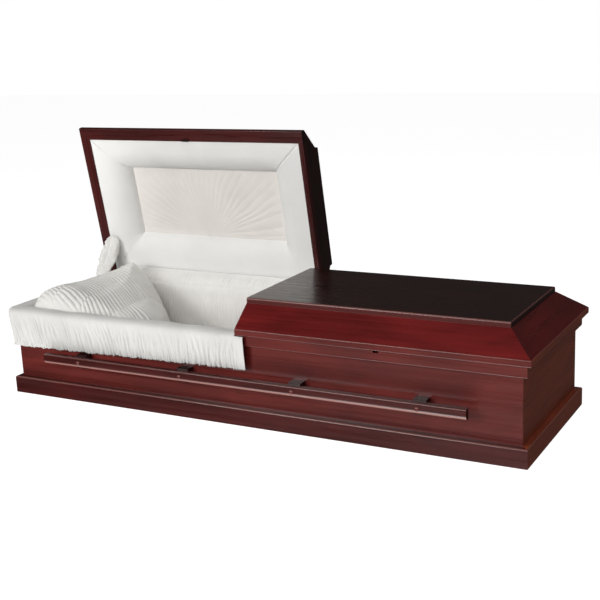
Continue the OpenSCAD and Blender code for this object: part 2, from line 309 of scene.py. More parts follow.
def thicken(piece: bpy.types.Object, thickness: float) -> None:
    """Gives a sheet its thickness, behind the side that shows."""
    solid = piece.modifiers.new("cloth thickness", "SOLIDIFY")
    solid.thickness = thickness
    solid.offset = -1.0
    settle_modifiers(piece)


# ---- finishes ----


class Nodes:
    """The node tree of a material or world, with short calls to add and join its nodes."""

    def __init__(self, owner: bpy.types.Material | bpy.types.World) -> None:
        """Turns on the owner's nodes."""
        owner.use_nodes = True
        self.nodes, self.links = owner.node_tree.nodes, owner.node_tree.links

    def put(self, node: bpy.types.Node, sockets: dict[str | int, object]) -> None:
        """Sets or joins the node's inputs: a socket is joined, and a value is set."""
        for key, value in sockets.items():
            if isinstance(value, Socket):
                self.links.new(value, node.inputs[key])
            else:
                node.inputs[key].default_value = value

    def add(
        self, kind: str, sockets: dict[str | int, object] | None = None, **settings: object
    ) -> bpy.types.Node:
        """A new node of that kind, with its settings and inputs."""
        node = self.nodes.new("ShaderNode" + kind)
        for key, value in settings.items():
            setattr(node, key, value)
        self.put(node, sockets or {})
        return node


class Tree(Nodes):
    """A material with one Principled shader, and the textures that feed it."""

    def __init__(self, name: str) -> None:
        """Starts the material."""
        self.material = bpy.data.materials.new(name)
        super().__init__(self.material)
        self.shader = self.nodes["Principled BSDF"]

    def noise(
        self, vector: Socket, scale: float, detail: float = 3.0, distortion: float = 0.0
    ) -> Socket:
        """Value of a noise texture at the vector."""
        inputs = {"Vector": vector, "Scale": scale, "Detail": detail, "Distortion": distortion}
        return self.add("TexNoise", inputs).outputs["Fac"]

    def stretched(
        self, vector: Socket, scale: Triple, turn: Triple = (0.0, 0.0, 0.0)
    ) -> Socket:
        """The vector turned and then scaled."""
        turned = self.add("Mapping", {"Vector": vector, "Rotation": turn}).outputs[0]
        return self.add("Mapping", {"Vector": turned, "Scale": scale}).outputs[0]

    def spread(
        self, value: Socket, low: float, high: float, to_low: float = 0.0, to_high: float = 1.0
    ) -> Socket:
        """The value carried from one range to another, and held there."""
        inputs = {"Value": value, 1: low, 2: high, 3: to_low, 4: to_high}
        return self.add("MapRange", inputs).outputs[0]

    def ramp(self, value: Socket, stops: list[tuple[float, Colour]]) -> Socket:
        """Colours by value."""
        node = self.add("ValToRGB", {"Fac": value})
        band = node.color_ramp
        while len(band.elements) < len(stops):
            band.elements.new(0.5)
        for element, (at, colour) in zip(band.elements, stops):
            element.position = at
            element.color = (*colour, 1.0)
        return node.outputs["Color"]

    def tinted(self, colour: Socket, tint: Colour, share: Socket) -> Socket:
        """The colour mixed with a tint by share."""
        node = self.add("Mix", {0: share}, data_type="RGBA", blend_type="MIX")
        self.put(node, {6: colour, 7: (*tint, 1.0)})
        return node.outputs[2]

    def bump(
        self, height: Socket, strength: float, distance: float, normal: Socket | None = None
    ) -> Socket:
        """Normals bent by a height in metres times distance."""
        inputs = {"Height": height, "Strength": strength, "Distance": distance}
        if normal is not None:
            inputs["Normal"] = normal
        return self.add("Bump", inputs).outputs[0]


OPEN_TURN = math.radians(79.6)
RIGHT_ANGLE = math.radians(90)


class Grain(Enum):
    """Which way a board's grain runs: the turn that brings it onto X, and the board's own turn."""

    LONG = ((0.0, 0.0, 0.0), 0.0)
    LONG_OPEN = ((0.0, 0.0, 0.0), OPEN_TURN)
    CROSS = ((0.0, 0.0, RIGHT_ANGLE), 0.0)
    RISING = ((OPEN_TURN, 0.0, RIGHT_ANGLE), OPEN_TURN)
    UPRIGHT = ((0.0, RIGHT_ANGLE, 0.0), 0.0)


@dataclass(frozen=True)
class Lacquer:
    """Satin lacquer over cherry-stained hardwood."""

    name: str
    dark: Colour
    middle: Colour
    light: Colour
    grain: Grain = Grain.LONG
    figure: float = 1.0
    roughness: float = 0.30
    # Shares of the lighter arrises: above, partly rubbed stain and partly painted highlight; on the
    # underside, painted highlight.
    arris: float = 0.5
    under: float = 0.0
    sides: Colour | None = None

    def material(self) -> bpy.types.Material:
        """Long streaks, cloudy figure and fine pores along the grain, under a satin coat.

        Where the surface turns between two faces it is lighter, partly rubbed stain and partly
        a painted highlight, by one share above and another on the underside, which is a painted
        highlight only. It takes darker on end grain. A top board can have lighter sides.
        """
        t = Tree(f"{self.name} {self.grain.name.lower()}")
        source = t.add("TexCoord").outputs
        at, (turn, tilt) = source["Object"], self.grain.value
        clouds = t.noise(t.stretched(at, (3.5, 11.0, 11.0), turn), 1.0, 4.0, 0.7)
        streaks = t.noise(t.stretched(at, (2.2, 75.0, 75.0), turn), 1.0, 5.0, 0.25)
        pores = t.noise(t.stretched(at, (28.0, 900.0, 900.0), turn), 1.0, 2.0)
        both = t.add("Mix", {0: 0.35, 2: clouds, 3: streaks}, data_type="FLOAT").outputs[0]
        tone = t.spread(both, 0.5 - 0.3 / self.figure, 0.5 + 0.3 / self.figure)
        colour = t.ramp(tone, [(0.0, self.dark), (0.5, self.middle), (1.0, self.light)])
        specks = t.spread(pores, 0.30, 0.44, 0.35, 0.0)
        colour = t.tinted(colour, self.dark, specks)
        tilted = {"Vector": source["Normal"], "Angle": tilt}
        level = t.add("VectorRotate", tilted, rotation_type="X_AXIS")
        faces = t.add("VectorMath", {0: level.outputs[0]}, operation="ABSOLUTE").outputs[0]
        x, y, z = t.add("SeparateXYZ", {0: faces}).outputs
        if self.sides is not None:
            colour = t.tinted(colour, self.sides, t.spread(z, 0.9, 0.5, 0.0, 0.85))
        if self.grain in (Grain.LONG, Grain.LONG_OPEN):
            colour = t.tinted(colour, DARK[0], t.spread(x, 0.9, 0.98, 0.0, 0.85))
        # Painted highlight on the arrises: lighter where the normal turns between faces, partly
        # rubbed stain and partly painted highlight above, and only painted highlight on the
        # underside.
        larger = t.add("Math", {0: x, 1: y}, operation="MAXIMUM").outputs[0]
        largest = t.add("Math", {0: larger, 1: z}, operation="MAXIMUM").outputs[0]
        turning = t.spread(largest, 0.985, 0.86)
        height = t.add("SeparateXYZ", {0: level.outputs[0]}).outputs[2]
        share = t.spread(height, -0.05, 0.05, self.under, self.arris)
        worn = t.add("Math", {0: turning, 1: share}, operation="MULTIPLY").outputs[0]
        colour = t.tinted(colour, WEAR_AND_HIGHLIGHT, worn)
        rough = t.spread(streaks, 0.3, 0.7, self.roughness - 0.05, self.roughness + 0.06)
        normal = t.bump(pores, 0.04, 0.0003, t.bump(streaks, 0.03, 0.0005))
        t.put(t.shader, {"Base Color": colour, "Roughness": rough, "Normal": normal})
        t.put(t.shader, {"IOR": 1.5, "Specular IOR Level": 0.4})
        t.put(t.shader, {"Coat Weight": 0.2, "Coat Roughness": 0.14, "Coat IOR": 1.45})
        return t.material


@dataclass(frozen=True)
class Cloth:
    """Off-white crepe or plain cloth, woven along its own surface."""

    name: str
    colour: Colour
    shade: Colour
    crinkle: float = 1.0
    sheen: float = 0.25
    follows_surface: bool = True
    # Share of painted shade in the hollows, read from the mesh's pointiness.
    folds: float = 0.35

    def material(self) -> bpy.types.Material:
        """Fine crinkles over a weave, faint clouds of colour, and painted shade in the hollows."""
        t = Tree(self.name)
        source = t.add("TexCoord").outputs
        at = source["UV"] if self.follows_surface else source["Object"]
        crinkle = t.noise(t.stretched(at, (620.0, 95.0, 620.0)), 1.0, 3.0, 0.6)
        weave = t.noise(at, 1700.0, 1.0)
        clouds = t.noise(source["Object"], 7.0, 3.0)
        tone = t.add("Mix", {0: 0.35, 2: clouds, 3: crinkle}, data_type="FLOAT").outputs[0]
        colour = t.ramp(tone, [(0.30, self.shade), (0.62, self.colour)])
        # Painted shade: darker where the mesh's pointiness is low, in the hollows between folds.
        crease_shade = t.spread(t.add("NewGeometry").outputs["Pointiness"], 0.50, 0.44, 0.0, self.folds)
        dark = tuple(0.55 * part for part in self.shade)
        colour = t.tinted(colour, dark, crease_shade)
        normal = t.bump(crinkle, 0.35 * self.crinkle, 0.0009, t.bump(weave, 0.12, 0.0003))
        t.put(t.shader, {"Base Color": colour, "Normal": normal, "Roughness": 0.88})
        t.put(t.shader, {"Sheen Weight": self.sheen, "Sheen Roughness": 0.5})
        t.put(t.shader, {"Specular IOR Level": 0.25})
        return t.material


@dataclass(frozen=True)
class Metal:
    """Brushed or cast metal with a worn patina."""

    name: str
    colour: Colour
    dull: Colour
    roughness: float
    metallic: float = 1.0

    def material(self) -> bpy.types.Material:
        """Fine brushing along X, and clouds of tarnish that are rougher and darker."""
        t = Tree(self.name)
        at = t.add("TexCoord").outputs["Object"]
        brushed = t.noise(t.stretched(at, (40.0, 1400.0, 1400.0)), 1.0, 2.0)
        tarnish = t.noise(at, 55.0, 4.0, 0.4)
        colour = t.ramp(tarnish, [(0.35, self.dull), (0.65, self.colour)])
        rough = t.spread(tarnish, 0.3, 0.7, self.roughness + 0.12, self.roughness - 0.05)
        normal = t.bump(brushed, 0.12, 0.0002)
        t.put(t.shader, {"Base Color": colour, "Roughness": rough, "Normal": normal})
        t.put(t.shader, {"Metallic": self.metallic})
        return t.material


# Each wood's dark, middle and light tones, and the cloth's and the arrises' colours. The darker
# cherry is painted shade for boards that stand in shade, the brown is brightened as painted
# light for the foot end, and the arrises' colour is partly rubbed stain and partly painted
# highlight.
CHERRY = ((0.046, 0.0080, 0.0068), (0.098, 0.0125, 0.0100), (0.150, 0.0185, 0.0140))
CHERRY_SHADED = ((0.020, 0.0028, 0.0024), (0.046, 0.0044, 0.0036), (0.074, 0.0066, 0.0052))
FIGURED = ((0.066, 0.0042, 0.0040), (0.122, 0.0066, 0.0062), (0.190, 0.0100, 0.0090))
FIGURED_END = ((0.056, 0.0044, 0.0038), (0.114, 0.0074, 0.0062), (0.180, 0.0112, 0.0094))
DARK = ((0.0085, 0.0030, 0.0024), (0.0190, 0.0055, 0.0042), (0.0340, 0.0090, 0.0062))
BROWN_LIT = ((0.165, 0.0370, 0.0185), (0.290, 0.0580, 0.0270), (0.410, 0.0880, 0.0410))
CREPE = (0.80, 0.785, 0.755)
WEAR_AND_HIGHLIGHT = (0.30, 0.130, 0.110)


class Finishes:
    """Every finish of the casket, made once and shared."""

    def __init__(self) -> None:
        """Makes the materials."""
        self.cherry = self.boards("cherry lacquer", CHERRY)
        # Cherry darkened as painted shade, for the boards that stand in shade.
        self.deep = self.boards("shaded cherry lacquer", CHERRY_SHADED)
        # The handle bar: cherry darkened as painted shade, with a painted highlight along its lower
        # rounding from the underside share.
        self.bar = self.boards("handle lacquer", CHERRY_SHADED, arris=0.4, under=1.3)
        self.slope = self.boards("figured cherry lacquer", FIGURED, figure=1.1, arris=0.0)
        self.slope_end = self.boards("deep figured lacquer", FIGURED_END, arris=0.0)
        self.dark = self.boards("dark stained wood", DARK, figure=0.8, sides=CHERRY[1])
        # Black for the brackets and the bottom board, and painted shade on the division boards.
        self.black = self.boards("black stain and painted shade", DARK, figure=0.8, arris=0.0)
        # The foot end's brown, made brighter as painted light where the lamps light it little.
        self.end = self.boards("brown lacquer", BROWN_LIT, figure=0.9)
        self.crepe = Cloth("shirred crepe", CREPE, (0.70, 0.685, 0.66)).material()
        self.drape = Cloth("overlay crepe", (0.66, 0.65, 0.63), (0.58, 0.57, 0.55)).material()
        self.smooth = Cloth(
            "smooth lid cloth", (0.80, 0.795, 0.775), (0.75, 0.742, 0.725), 0.35, 0.2
        ).material()
        self.sunburst = Cloth(
            "pleated panel cloth", (0.82, 0.775, 0.735), (0.74, 0.70, 0.665), 0.6
        ).material()
        self.pillow = Cloth(
            "pillow crepe", (0.80, 0.785, 0.75), (0.68, 0.665, 0.635), 0.6, 0.2, False, 0.3
        ).material()
        self.bed = Cloth("mattress cloth", CREPE, (0.72, 0.705, 0.68), 0.6, 0.2, False).material()
        self.steel = Metal("hinge steel", (0.30, 0.29, 0.27), (0.12, 0.115, 0.11), 0.38).material()
        self.bronze = Metal(
            "catch bronze", (0.060, 0.042, 0.030), (0.022, 0.017, 0.014), 0.42
        ).material()

    @staticmethod
    def boards(name: str, tones: Tones, **kind: object) -> dict[Grain, bpy.types.Material]:
        """One lacquer for every way that the grain runs."""
        return {grain: Lacquer(name, *tones, grain, **kind).material() for grain in Grain}


def dress(piece: bpy.types.Object, material: bpy.types.Material) -> None:
    """Gives the whole piece one material."""
    if not piece.data.materials:
        piece.data.materials.append(material)
    for place in piece.material_slots:
        place.material = material


# ---- the frame's own sizes ----


@dataclass(frozen=True)
class Shell:
    """Sizes of the wood shell that the soft pieces fit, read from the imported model."""

    band: Vector
    rim: float
    inner: Vector
    hinge: Vector
    open_turn: float
    well_low: Vector
    well_high: Vector
    lid_seat: float
    head_top: float
    bed: Vector
    lining: float = 10 * MM
    bed_top: float = 150 * MM
    head_slope: float = math.radians(20)

    @classmethod
    def read(cls, frame: dict) -> Shell:
        """Takes the sizes from the nodes' boxes and from the head lid's joint."""
        band_low, band_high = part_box("band_front")
        lining_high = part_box("body_lining")[1]
        pin_low, pin_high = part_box("head_hinge_pin")
        well_low, well_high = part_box("foot_lid_lining")
        bed_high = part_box("mattress")[1]
        joint = next(j for j in frame["joints"] if j["name"] == "head_lid_hinge")
        turn = math.radians(max(abs(limit) for limit in joint["range_deg"]))
        return cls(
            band=Vector((band_high.x, -band_low.y, 0)), rim=band_high.z,
            inner=Vector((lining_high.x, lining_high.y, 0)),
            hinge=(pin_low + pin_high) / 2, open_turn=turn,
            well_low=well_low, well_high=well_high, lid_seat=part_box("foot_lid_rail_front")[0].z,
            head_top=bed_high.z, bed=Vector((bed_high.x, bed_high.y, 0)),
        )

    def bed_height(self, x: Array | float) -> Array:
        """Top of the mattress at x: level, and rising in a straight slope at the head end."""
        slope = math.tan(self.head_slope)
        start = (self.head_top - self.bed_top) / slope - self.bed.x
        return self.bed_top + np.maximum(0.0, start - np.asarray(x, float)) * slope

    def opened(self, points: Array) -> Array:
        """Points of a closed foot lid, mirrored to the head and turned open about the hinge."""
        out = points * np.array([-1.0, 1.0, 1.0])
        y, z = out[..., 1] - self.hinge.y, out[..., 2] - self.hinge.z
        c, s = math.cos(self.open_turn), math.sin(self.open_turn)
        out[..., 1], out[..., 2] = self.hinge.y + y * c + z * s, self.hinge.z - y * s + z * c
        return out


@dataclass
class Part:
    """What every part made here needs: the wood shell that it fits, and the finishes."""

    shell: Shell
    finishes: Finishes


# ---- wood, metal and small fittings ----


@dataclass
class Woodwork:
    """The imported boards, hinges and catches, which only take their finishes."""

    frame: dict
    finishes: Finishes

    def finish_of(self, node: str) -> bpy.types.Material | None:
        """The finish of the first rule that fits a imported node's name, or None for a soft one."""
        f = self.finishes
        is_open = node.startswith("head_lid")
        long = Grain.LONG_OPEN if is_open else Grain.LONG
        across = Grain.RISING if is_open else Grain.CROSS
        body = ("base_rail", "panel", "band")
        rules = [
            (("hinge_cover",), "", None),
            (("head_hinge", "foot_hinge"), "", f.steel),
            ("", "_catch", f.bronze),
            (("bar_bracket",), "", f.black[Grain.UPRIGHT]),
            (("bottom_board",), "", f.black[Grain.LONG]),
            ("", ("slope_front", "slope_back"), f.slope[long]),
            ("", "slope_end", f.slope_end[across]),
            # The division boards are painted black as shade: their faces stand in shade.
            ("", "division_board", f.black[across]),
            ("", "lid_top", f.dark[long]),
            # The head lid's end rails, the head end, the base rails and the head lid's rails take
            # the darkened cherry as painted shade; the foot end and the foot lid's end rails take
            # the brightened brown as painted light.
            ("", ("rail_end", "rail_division"), (f.deep if is_open else f.end)[across]),
            (body, "head", f.deep[Grain.CROSS]),
            (body, "foot", f.end[Grain.CROSS]),
            (("base_rail", "head_lid_rail"), "", f.deep[long]),
            (("handle_bar",), "", f.bar[Grain.LONG]),
            (("panel", "band", "foot_lid_rail"), "", f.cherry[Grain.LONG]),
        ]
        for starts, ends, finish in rules:
            if node.startswith(starts) and node.endswith(ends):
                return finish
        return None

    def build(self) -> None:
        """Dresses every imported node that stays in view."""
        for name, node in self.frame["nodes"].items():
            material = self.finish_of(name)
            if material is not None:
                dress(node, material)
                log.info("%s: %s", name, material.name)


@dataclass
class Fittings(Part):
    """Screw caps along the handle bars and screw heads in the hinge leaves."""

    cap_radius: float = 8.5 * MM
    cap_height: float = 5.5 * MM
    screw_radius: float = 3.4 * MM
    screw_in: float = 30 * MM
    screw_up: float = 10 * MM
    screws: int = 9
    leaf: float = 1.6 * MM

    def button(self, centre: Vector, radius: float, profile: Profile, outward: int) -> Patch:
        """A turned button: its profile spun about an axis along Y.

        Args:
            centre: where its foot is.
            radius: its radius, in metres.
            profile: points of (share of the radius, height in metres).
            outward: -1 when it faces the front, and 1 when it faces the back.
        """
        line = curve_through(profile, 12)
        turn = np.linspace(0, 2 * np.pi, 33)
        r, h = radius * line[:, 0][:, None], line[:, 1][:, None] + 0 * turn
        x, z = centre.x + r * np.cos(turn), centre.z + r * np.sin(turn)
        return Patch(lattice(x, centre.y + outward * h, z), turned=outward < 0)

    def finished(
        self, name: str, patches: list[Patch], finish: bpy.types.Material, slot: str, weld: float
    ) -> None:
        """Makes one piece of the buttons, fixed to the body."""
        piece = make_piece(name, patches, weld=weld)
        dress(piece, finish)
        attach(piece, "casket")
        log.info("made %s", name)

    def bar_caps(self, side: str) -> None:
        """Domed caps on the bar's face, one at each bracket: a collar and a dome."""
        bar_low, bar_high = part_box(f"handle_bar_{side}")
        face, outward = (bar_low.y, -1) if side == "front" else (bar_high.y, 1)
        h = self.cap_height
        profile = [(1.0, -2 * MM), (1.0, 0.15 * h), (0.93, 0.4 * h), (0.72, 0.74 * h),
                   (0.42, 0.95 * h), (0.16, h), (0.002, h)]
        patches = []
        for k in range(1, 5):
            low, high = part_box(f"bar_bracket_{side}_{k}")
            centre = Vector(((low.x + high.x) / 2, face, (low.z + high.z) / 2))
            patches.append(self.button(centre, self.cap_radius, profile, outward))
        finish = self.finishes.cherry[Grain.LONG]
        self.finished(f"bar_caps_{side}", patches, finish, "cherry_lacquer", 0.05 * MM)

    def hinge_screws(self, lid: str) -> None:
        """Countersunk heads in the leaf on the back of the band, with a cross slot's dimple."""
        low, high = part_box(f"{lid}_hinge_base_leaf")
        face, z = self.shell.band.y + self.leaf, low.z + self.screw_up
        profile = [(1.0, -0.5 * MM), (0.98, 0.15 * MM), (0.8, 0.5 * MM), (0.5, 0.72 * MM),
                   (0.28, 0.7 * MM), (0.12, 0.2 * MM), (0.002, 0.1 * MM)]
        patches = [
            self.button(Vector((x, face, z)), self.screw_radius, profile, 1)
            for x in np.linspace(low.x + self.screw_in, high.x - self.screw_in, self.screws)
        ]
        self.finished(f"{lid}_hinge_screws", patches, self.finishes.steel, "hinge_steel", 0.02 * MM)

    def build(self) -> None:
        """Makes the caps of both bars and the screws of both hinges."""
        for side in ("front", "back"):
            self.bar_caps(side)
        for lid in ("head", "foot"):
            self.hinge_screws(lid)


# ---- lids ----


@dataclass
class LidLining(Part):
    """Padded border and sunburst panel inside a lid, worked out for the closed foot lid."""

    roll: float = 146 * MM
    depth: float = 63 * MM
    panel_shift: float = 10 * MM
    seat: float = 3 * MM
    slope: float = 12 * MM
    drop: float = 48 * MM
    level: float = 0.42
    steepest: float = 0.97
    corner: float = 2.6
    spacing: float = 7 * MM
    seam: float = 3.5 * MM
    seam_depth: float = 3.2 * MM
    sewn: tuple[float, ...] = (0.12, 0.1, 0.1, 0.8)
    pleats: int = 30
    pleat_depth: float = 2.2 * MM
    hub_shift: float = 20 * MM

    def placed(self, grid: Array, lid: str) -> Patch:
        """The grid where that lid has it at rest; a mirrored grid's faces are turned back."""
        if lid == "head":
            return Patch(self.shell.opened(grid), turned=False)
        return Patch(grid, turned=True)

    def strip(self, k: int) -> tuple[Array, Array, Array]:
        """One side of the border in plan: a mitred strip between two rectangles.

        Args:
            k: which side, counted round from the hinge side.

        Returns:
            Its points in plan, the shares along it, and its length at each share across.
        """
        x0, x1, y = self.shell.well_low.x, self.shell.well_high.x, self.shell.well_high.y
        outer = [(x0, y), (x1, y), (x1, -y), (x0, -y)]
        w, off = self.roll, self.panel_shift
        near_y, far_y = y - w - off, w - y - off
        inner = [(x0 + w, near_y), (x1 - w, near_y), (x1 - w, far_y), (x0 + w, far_y)]
        a, b = np.array(outer[k]), np.array(outer[(k + 1) % 4])
        c, d = np.array(inner[k]), np.array(inner[(k + 1) % 4])
        longer, shorter = float(np.linalg.norm(b - a)), float(np.linalg.norm(d - c))
        t = np.linspace(0, 1, max(60, int(longer / self.spacing)))
        t = 0.5 - 0.5 * np.cos(np.pi * t) * (0.75 + 0.25 * np.cos(np.pi * t) ** 2)
        u = np.linspace(0, 1, 44)[:, None]
        top = a + (b - a) * t[:, None]
        bottom = c + (d - c) * t[:, None]
        plan = top[None] * (1 - u[..., None]) + bottom[None] * u[..., None]
        return plan, t, longer * (1 - u) + shorter * u

    def inward(self, plan: Array) -> Array:
        """Share of the way from the rail, 0, to the recessed panel, 1, with rounded corners."""
        x0, x1, y = self.shell.well_low.x, self.shell.well_high.x, self.shell.well_high.y
        w, off, corner = self.roll, self.panel_shift, self.corner
        beyond_x = np.maximum(np.abs(plan[..., 0] - (x0 + x1) / 2) - ((x1 - x0) / 2 - w), 0) / w
        hinge_side = (plan[..., 1] - (y - w - off)) / (w + off)
        open_side = (-plan[..., 1] - (y - w + off)) / (w - off)
        beyond_y = np.maximum(np.maximum(hinge_side, open_side), 0)
        return np.clip(1 - (beyond_x ** corner + beyond_y ** corner) ** (1 / corner), 0, 1)

    def border_side(self, k: int) -> Array:
        """One side of the border, from the rail's inner edge to the recessed panel's edge.

        Across it the cloth is nearly level, then turns over in a quarter round down to the
        panel: a small slope plus one minus the root of one minus a square, both of the distance
        from the panel, so that the corners come out round. Near the mitres it dips by a narrow
        bell curve where they are sewn.

        Args:
            k: which side, counted round from the hinge side.

        Returns:
            A grid of points.
        """
        plan, t, side_length = self.strip(k)
        u = np.linspace(0, 1, len(plan))[:, None]
        share = self.inward(plan)
        v = np.clip((share - self.level) / (1 - self.level), 0, 1) * self.steepest
        turn = (1 - np.sqrt(1 - v * v)) / (1 - math.sqrt(1 - self.steepest ** 2))
        h = self.seat + self.slope * share + self.drop * turn
        near = np.minimum(t, 1 - t) * side_length * math.sqrt(0.5)
        sewn = np.where(t < 0.5, self.sewn[k], self.sewn[(k + 1) % 4])
        crease = bell(near, self.seam) * sewn
        h = h + crease * self.seam_depth * ease(0.0, 0.1, u) * ease(1.0, 0.75, u)
        soft = Ripple(40 + k)
        h = h + 1.1 * MM * soft.at(plan[..., 0] / 0.16 + 9, plan[..., 1] / 0.16 + 9)
        h = h + 0.35 * MM * soft.at(plan[..., 0] / 0.035, plan[..., 1] / 0.035)
        return np.concatenate([plan, (self.shell.lid_seat + h)[..., None]], axis=2)

    def sunburst(self) -> Array:
        """The recessed panel: pleats that fan out from the middle of its hinge side.

        The height is |sin| of the angle about that point times the number of pleats, growing
        with distance, and it fades at the panel's edges.
        """
        low, high = self.shell.well_low, self.shell.well_high
        w, off = self.roll - 3 * MM, self.panel_shift
        x = np.linspace(low.x + w, high.x - w, 300)
        y = np.linspace(high.y - w - off, w - high.y - off, 130)
        px, py = np.meshgrid(x, y)
        hub_x, hub_y = (low.x + high.x) / 2 + self.hub_shift, y[0]
        away = np.hypot(px - hub_x, py - hub_y)
        angle = np.arctan2(hub_y - py + 4 * MM, px - hub_x)
        soft = Ripple(77)
        phase = angle / np.pi * self.pleats + 0.35 * soft.at(angle * 5 + 20, away / 0.12)
        fold = np.abs(np.sin(np.pi * phase)) ** 0.85
        edge = np.minimum.reduce([px - x[0], x[-1] - px, y[0] - py, py - y[-1]])
        fade = ease(0.0, 18 * MM, edge)
        tall = ease(30 * MM, 230 * MM, away) * (0.7 + 0.3 * soft.at(angle * 3 + 50, away / 0.2))
        tall = tall * (1 - 0.5 * ease(hub_x, x[-1], px))
        h = self.pleat_depth * fold * tall * fade + 6 * MM * ease(0.0, 90 * MM, edge)
        button = bell(away, 16 * MM) * 3 * MM
        z = self.shell.lid_seat + self.depth + 1.5 * MM - h + button
        return lattice(px, py, z)

    def build(self) -> None:
        """Lines both lids."""
        self.line("head")
        self.line("foot")

    def line(self, lid: str) -> None:
        """Makes that lid's border and panel."""
        sides = [self.placed(self.border_side(k), lid) for k in range(4)]
        border = make_piece(f"{lid}_lid_border", sides, weld=0.01 * MM)
        panel = make_piece(f"{lid}_lid_sunburst", [self.placed(self.sunburst(), lid)])
        thicken(panel, CLOTH_THICKNESS)
        for piece, finish in ((border, self.finishes.smooth), (panel, self.finishes.sunburst)):
            dress(piece, finish)
            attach(piece, f"{lid}_lid")
            log.info("made %s", piece.name)
        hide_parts(f"{lid}_lid_lining")
        if lid == "head":
            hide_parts("head_lid_centre_panel")


# ---- inside the body ----


@dataclass
class Interior(Part):
    """Shirred lining on the walls, mattress and pillow."""

    wall_gathers: Gathers = Gathers(13 * MM, 4.6 * MM, 0.11, 0.9, 11)

    def wall_path(self, step: float) -> Array:
        """Closed line round the inside of the lining: a rectangle with rounded corners."""
        hx, hy = self.shell.inner.x - self.shell.lining, self.shell.inner.y - self.shell.lining
        r = 14 * MM
        runs = []
        for k, (cx, cy) in enumerate([(1, -1), (1, 1), (-1, 1), (-1, -1)]):
            turn = np.linspace(0, np.pi / 2, 12) + (k - 1) * np.pi / 2
            centre = np.array([cx * (hx - r), cy * (hy - r)])
            runs.append(centre + r * np.stack([np.cos(turn), np.sin(turn)], axis=1))
        corners = np.concatenate(runs + [runs[0][:1]])
        steps = np.linalg.norm(np.diff(corners, axis=0), axis=1)
        at = np.concatenate([[0.0], np.cumsum(steps)])
        s = np.linspace(0, at[-1], int(at[-1] / step))
        return np.stack([np.interp(s, at, corners[:, 0]), np.interp(s, at, corners[:, 1])], axis=1)

    def lining(self) -> bpy.types.Object:
        """The shirred wall lining: the path carried up a slightly padded profile, then gathered."""
        path = self.wall_path(2.3 * MM)
        z = np.linspace(self.shell.bed_top - 22 * MM, self.shell.rim - 1.5 * MM, 17)
        out = np.gradient(path, axis=0)
        out = unit(np.stack([out[:, 1], -out[:, 0]], axis=1))
        share = (z - z[0]) / (z[-1] - z[0])
        inward = 1.5 * MM + 3.5 * MM * np.sin(np.pi * share) - 6 * MM * ease(0.93, 1.0, share)
        s = lengths_along(path[None], 1)[0]
        folds = self.wall_gathers.height(s[None, :], z[:, None])
        folds = folds * ease(0.0, 0.1, share)[:, None] * (1 - 0.5 * ease(0.9, 1.0, share))[:, None]
        off = inward[:, None] + folds
        plan = path[None] - out[None] * off[..., None]
        grid = lattice(plan[..., 0], plan[..., 1], z[:, None])
        piece = make_piece("body_lining_shirred", [Patch(grid)])
        thicken(piece, CLOTH_THICKNESS)
        dress(piece, self.finishes.crepe)
        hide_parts("body_lining")
        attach(piece, "casket")
        return piece

    def mattress(self) -> bpy.types.Object:
        """The mattress: a long closed pad whose section is a rounded box, with soft hollows.

        Each section round the pad is a superellipse in Y and Z between the bottom board and the
        bed's height at that X; the ends close the same way.
        """
        hx, hy = self.shell.bed.x - 1 * MM, self.shell.bed.y - 1 * MM
        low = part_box("mattress")[0].z
        e = np.linspace(-np.pi / 2, np.pi / 2, 130)
        x = hx * powered(np.sin(e), 0.35)
        x = x * 0.35 + hx * np.linspace(-1, 1, 130) * 0.65
        closing = rounded(x / hx, 60)
        turn = np.linspace(0, 2 * np.pi, 121)
        c, s = np.cos(turn), np.sin(turn)
        cy, cz = powered(c, 0.16), powered(s, 0.16)
        top = self.shell.bed_height(x)
        middle, half = (top + low) / 2, (top - low) / 2
        soft = Ripple(5)
        y = hy * cy[:, None] * closing[None]
        lift = np.where(cz > 0.6, 1.0, 0.0)[:, None]
        sag = 3.5 * MM * (1 + soft.at(x[None] / 0.16, y / 0.16 + 7)) * lift
        sag = sag + 9 * MM * lift * np.abs(cy[:, None]) ** 7
        z = middle[None] + half[None] * cz[:, None] * closing[None] - sag * closing[None]
        patch = Patch(lattice(x[None], y, z), turned=True)
        piece = make_piece("mattress_pad", [patch], weld=0.05 * MM)
        dress(piece, self.finishes.bed)
        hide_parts("mattress")
        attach(piece, "casket")
        return piece

    def build(self) -> None:
        """Makes the lining, the mattress and the pillow."""
        for piece in (self.lining(), self.mattress(), Pillow(self.shell, self.finishes).build()):
            log.info("made %s", piece.name)


